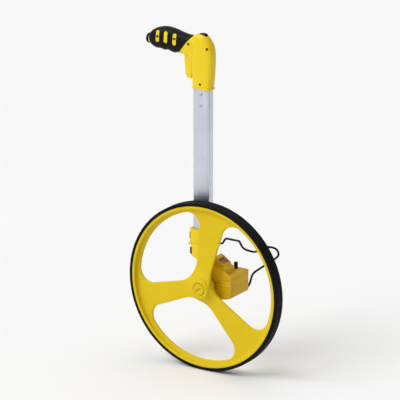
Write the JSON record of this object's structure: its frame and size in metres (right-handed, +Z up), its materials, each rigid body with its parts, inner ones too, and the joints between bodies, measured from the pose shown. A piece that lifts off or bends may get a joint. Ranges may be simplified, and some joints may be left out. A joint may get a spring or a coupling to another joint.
{
  "type": "measuring wheel",
  "caption": "Surveyor's measuring wheel: rubber-tyred spoked wheel on a folding aluminium pole, with a mechanical digit counter, a pistol-style grip, a hand brake and a wire rest.",
  "frame": {"origin": "where the tyre touches the ground, in the middle of the tyre's width", "axes": "+Z up, +X the way the wheel rolls forward, +Y along the axle from the wheel to the counter housing"},
  "size_m": [0.3184, 0.1559, 0.6297],
  "materials": {
    "yellow_plastic": "moulded, satin to gloss",
    "amber_plastic": "moulded, fine texture",
    "tyre_rubber": "moulded solid tyre",
    "grip_rubber": "soft grip, fine grain",
    "black_plastic": "moulded",
    "white_plastic": "moulded",
    "clear_plastic": "clear moulded window",
    "aluminium": "satin anodised",
    "black_wire": "dipped black",
    "steel": "zinc plated"
  },
  "bodies": {
    "pole": {"pole_tube": "aluminium", "pole_rivet_1": "steel", "pole_rivet_2": "steel", "hinge_upper_block": "yellow_plastic", "latch_keeper": "black_plastic", "socket_screw": "steel", "handle_shell_near": "yellow_plastic", "handle_shell_far": "yellow_plastic", "handle_screw_1": "steel", "handle_screw_2": "steel", "collar_screw": "steel", "grip_sleeve": "grip_rubber", "grip_screw_1": "steel", "grip_screw_2": "steel", "grip_end_ring": "yellow_plastic", "grip_end_cap": "black_plastic", "trigger_pin": "steel", "trigger_spring": "steel", "brake_cable_upper": "steel"},
    "frame": {"housing_upper_shell": "amber_plastic", "housing_lower_shell": "amber_plastic", "housing_screw_1": "steel", "housing_screw_2": "steel", "housing_screw_3": "steel", "housing_screw_4": "steel", "counter_window": "clear_plastic", "axle": "steel", "axle_nut": "steel", "hinge_lower_block": "yellow_plastic", "hinge_pin": "steel", "neck_screw_1": "steel", "neck_screw_2": "steel", "drum_shaft": "steel", "idler_pin": "steel", "brake_pivot": "steel", "brake_cable_lower": "steel", "stand_clip_front": "black_plastic", "stand_clip_rear": "black_plastic", "drum_thousands": "white_plastic"},
    "wheel": {"wheel_disc": "yellow_plastic", "tyre": "tyre_rubber", "hub_cap": "yellow_plastic", "bearing_near": "steel", "bearing_far": "steel", "hub_gear": "black_plastic"},
    "trigger": {"brake_trigger": "yellow_plastic"},
    "thumb": {"thumb_button": "black_plastic"},
    "release": {"release_button": "black_plastic"},
    "peg": {"reset_peg": "black_plastic"},
    "brake": {"brake_arm": "steel"},
    "stand": {"stand_wire": "black_wire"},
    "idler": {"idler_gear": "white_plastic"},
    "digit_tenths": {"drum_gear": "white_plastic", "drum_tenths": "white_plastic"},
    "digit_metres": {"drum_metres": "white_plastic"},
    "digit_tens": {"drum_tens": "white_plastic"},
    "digit_hundreds": {"drum_hundreds": "white_plastic"}
  },
  "joints": [
    {"name": "pole_fold", "type": "hinge", "parent": "pole", "child": "frame", "pos_m": [-0.042, 0.02295, 0.23115], "axis": [0, 1, 0], "range_deg": [0, 135]},
    {"name": "wheel_spin", "type": "hinge", "parent": "frame", "child": "wheel", "pos_m": [0, 0, 0.15915], "axis": [0, 1, 0], "continuous": true},
    {"name": "trigger_squeeze", "type": "hinge", "parent": "pole", "child": "trigger", "pos_m": [-0.047, 0.02295, 0.59015], "axis": [0, -1, 0], "range_deg": [0, 4], "stiffness_Nm_per_rad": 0.4, "springref_deg": -11.46},
    {"name": "brake_arm_swing", "type": "hinge", "parent": "frame", "child": "brake", "pos_m": [-0.024, 0.0182, 0.15316], "axis": [0, -1, 0], "range_deg": [0, 2]},
    {"name": "thumb_press", "type": "slide", "parent": "pole", "child": "thumb", "axis": [0, 0, -1], "range_m": [0, 0.003], "stiffness_N_per_m": 300, "springref_m": -0.003},
    {"name": "release_press", "type": "slide", "parent": "frame", "child": "release", "axis": [1, 0, 0], "range_m": [0, 0.003], "stiffness_N_per_m": 400, "springref_m": -0.003},
    {"name": "reset_press", "type": "slide", "parent": "frame", "child": "peg", "axis": [0, 0, -1], "range_m": [0, 0.004], "stiffness_N_per_m": 300, "springref_m": -0.003},
    {"name": "stand_swing", "type": "hinge", "parent": "frame", "child": "stand", "pos_m": [0, 0.0805, 0.14316], "axis": [1, 0, 0], "range_deg": [-130, 15]},
    {"name": "idler_spin", "type": "hinge", "parent": "frame", "child": "idler", "pos_m": [0.00733, 0.028, 0.1736], "axis": [0, 1, 0], "continuous": true},
    {"name": "tenths_spin", "type": "hinge", "parent": "frame", "child": "digit_tenths", "pos_m": [0.0095, 0.04, 0.18965], "axis": [0, 1, 0], "continuous": true},
    {"name": "metres_spin", "type": "hinge", "parent": "frame", "child": "digit_metres", "pos_m": [0.0095, 0.04, 0.18965], "axis": [0, 1, 0], "continuous": true},
    {"name": "tens_spin", "type": "hinge", "parent": "frame", "child": "digit_tens", "pos_m": [0.0095, 0.04, 0.18965], "axis": [0, 1, 0], "continuous": true},
    {"name": "hundreds_spin", "type": "hinge", "parent": "frame", "child": "digit_hundreds", "pos_m": [0.0095, 0.04, 0.18965], "axis": [0, 1, 0], "continuous": true}
  ],
  "couplings": [
    {"joint": "brake_arm_swing", "follows": "trigger_squeeze", "ratio": 0.5},
    {"joint": "idler_spin", "follows": "wheel_spin", "ratio": -1.25},
    {"joint": "tenths_spin", "follows": "wheel_spin", "ratio": 1},
    {"joint": "metres_spin", "follows": "wheel_spin", "ratio": 0.1},
    {"joint": "tens_spin", "follows": "wheel_spin", "ratio": 0.01},
    {"joint": "hundreds_spin", "follows": "wheel_spin", "ratio": 0.001}
  ]
}
